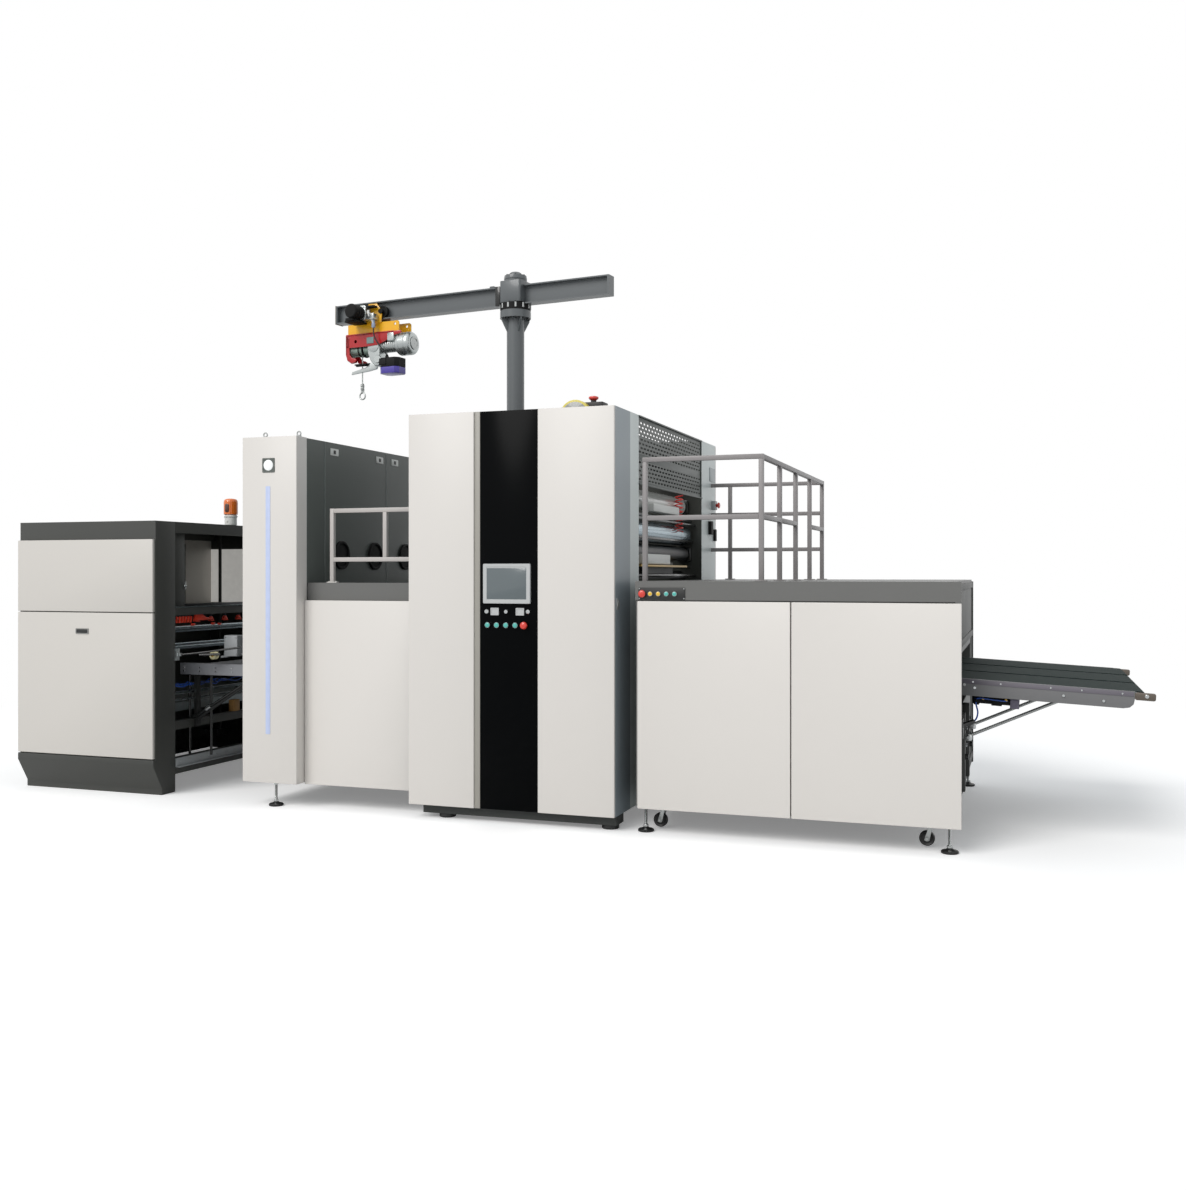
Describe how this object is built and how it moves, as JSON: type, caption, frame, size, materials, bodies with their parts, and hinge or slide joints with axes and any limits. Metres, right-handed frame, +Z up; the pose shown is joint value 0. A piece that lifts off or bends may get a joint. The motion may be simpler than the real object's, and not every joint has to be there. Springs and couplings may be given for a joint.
{
  "type": "sheet laminating line",
  "caption": "Free-standing sheet laminating line: feeder, tall housing, roller tower with a jib hoist, guard rails, delivery and belt conveyor.",
  "frame": {"origin": "centre of the footprint, on the floor", "axes": "+X along the sheet path from the feeder to the conveyor, +Y from the operator side to the drive side, +Z up"},
  "size_m": [6.533, 2.23, 3.228],
  "materials": {
    "white_paint": "warm white powder coat, satin",
    "charcoal_paint": "charcoal powder coat, fine texture",
    "dark_wall_paint": "dark green-grey powder coat, satin",
    "grey_green_paint": "light grey-green paint, satin",
    "grey_paint": "grey powder coat, satin",
    "guard_paint": "dark grey-green powder coat",
    "jib_paint": "grey machinery enamel, gloss",
    "light_rail_paint": "light warm grey enamel",
    "dark_rail_paint": "purplish grey enamel",
    "yellow_paint": "yellow enamel, gloss",
    "red_paint": "red enamel, gloss",
    "steel_sheet": "rolled steel sheet",
    "roller_steel": "ground steel roller",
    "roller_rubber": "smooth black rubber cover",
    "film": "wound clear film, glossy",
    "amber_plastic": "amber lens over a pale base",
    "black_fittings": "moulded black plastic",
    "black_glass": "black glass, polished",
    "panel_fittings": "touch panel and switches",
    "cast_aluminium": "die-cast aluminium",
    "hook_steel": "zinc-plated steel",
    "belt_rubber": "dark green belting",
    "foot_steel": "black rubber pads on steel studs",
    "tyre_rubber": "black rubber tyre",
    "cable_rubber": "black rubber cable sheath",
    "hose_plastic": "blue polyurethane air hose"
  },
  "bodies": {
    "base": {"feeder_sides": "charcoal_paint", "feeder_frame": "charcoal_paint", "feeder_panels": "white_paint", "suction_head": "red_paint", "transfer_table": "grey_paint", "beacon": "amber_plastic", "housing_body": "dark_wall_paint", "housing_covers": "white_paint", "housing_fittings": "black_fittings", "link_body": "charcoal_paint", "link_panels": "white_paint", "link_rails": "light_rail_paint", "tower_cabinets": "grey_green_paint", "tower_panels": "white_paint", "glass_strip": "black_glass", "operator_panel": "panel_fittings", "tower_guards": "guard_paint", "tower_frame": "charcoal_paint", "jib_column": "jib_paint", "delivery_body": "charcoal_paint", "delivery_panels": "white_paint", "delivery_controls": "black_fittings", "guard_rail": "dark_rail_paint", "conveyor_frame": "grey_paint", "conveyor_belts": "belt_rubber", "machine_feet": "foot_steel", "air_hose": "hose_plastic"},
    "pile": {"pile_table": "steel_sheet"},
    "jib": {"jib_beam": "jib_paint"},
    "hoist": {"trolley": "yellow_paint", "hoist_frame": "red_paint", "hoist_drive": "cast_aluminium", "hoist_hook": "hook_steel", "hoist_cable": "cable_rubber"},
    "steel_roll": {"steel_roller": "roller_steel"},
    "rubber_roll": {"rubber_roller": "roller_rubber"},
    "film_reel": {"film_roll": "film"},
    "swivel_1": {"caster_fork_1": "hook_steel"},
    "wheel_1": {"caster_wheel_1": "tyre_rubber"},
    "swivel_2": {"caster_fork_2": "hook_steel"},
    "wheel_2": {"caster_wheel_2": "tyre_rubber"},
    "swivel_3": {"caster_fork_3": "hook_steel"},
    "wheel_3": {"caster_wheel_3": "tyre_rubber"},
    "swivel_4": {"caster_fork_4": "hook_steel"},
    "wheel_4": {"caster_wheel_4": "tyre_rubber"}
  },
  "joints": [
    {"name": "jib_slew", "type": "hinge", "parent": "base", "child": "jib", "pos_m": [-0.3355, 0.015, 3], "axis": [0, 0, 1], "range_deg": [-180, 180]},
    {"name": "trolley_travel", "type": "slide", "parent": "jib", "child": "hoist", "axis": [0.9934, -0.1149, 0], "range_m": [0, 0.6]},
    {"name": "pile_lift", "type": "slide", "parent": "base", "child": "pile", "axis": [0, 0, 1], "range_m": [-0.3, 0.47]},
    {"name": "steel_roller_spin", "type": "hinge", "parent": "base", "child": "steel_roll", "pos_m": [0.5645, 0.015, 1.586], "axis": [0, 1, 0], "continuous": true},
    {"name": "rubber_roller_spin", "type": "hinge", "parent": "base", "child": "rubber_roll", "pos_m": [0.5745, 0.015, 1.464], "axis": [0, 1, 0], "continuous": true},
    {"name": "film_reel_spin", "type": "hinge", "parent": "base", "child": "film_reel", "pos_m": [0.5545, 0.015, 1.772], "axis": [0, 1, 0], "continuous": true},
    {"name": "caster_swivel_1", "type": "hinge", "parent": "base", "child": "swivel_1", "pos_m": [0.9025, -0.885, 0.13], "axis": [0, 0, 1], "continuous": true},
    {"name": "caster_roll_1", "type": "hinge", "parent": "swivel_1", "child": "wheel_1", "pos_m": [0.8765, -0.885, 0.047], "axis": [0, 1, 0], "continuous": true},
    {"name": "caster_swivel_2", "type": "hinge", "parent": "base", "child": "swivel_2", "pos_m": [2.2565, -0.885, 0.13], "axis": [0, 0, 1], "continuous": true},
    {"name": "caster_roll_2", "type": "hinge", "parent": "swivel_2", "child": "wheel_2", "pos_m": [2.2305, -0.885, 0.047], "axis": [0, 1, 0], "continuous": true},
    {"name": "caster_swivel_3", "type": "hinge", "parent": "base", "child": "swivel_3", "pos_m": [0.9025, 0.915, 0.13], "axis": [0, 0, 1], "continuous": true},
    {"name": "caster_roll_3", "type": "hinge", "parent": "swivel_3", "child": "wheel_3", "pos_m": [0.8765, 0.915, 0.047], "axis": [0, 1, 0], "continuous": true},
    {"name": "caster_swivel_4", "type": "hinge", "parent": "base", "child": "swivel_4", "pos_m": [2.2565, 0.915, 0.13], "axis": [0, 0, 1], "continuous": true},
    {"name": "caster_roll_4", "type": "hinge", "parent": "swivel_4", "child": "wheel_4", "pos_m": [2.2305, 0.915, 0.047], "axis": [0, 1, 0], "continuous": true}
  ]
}
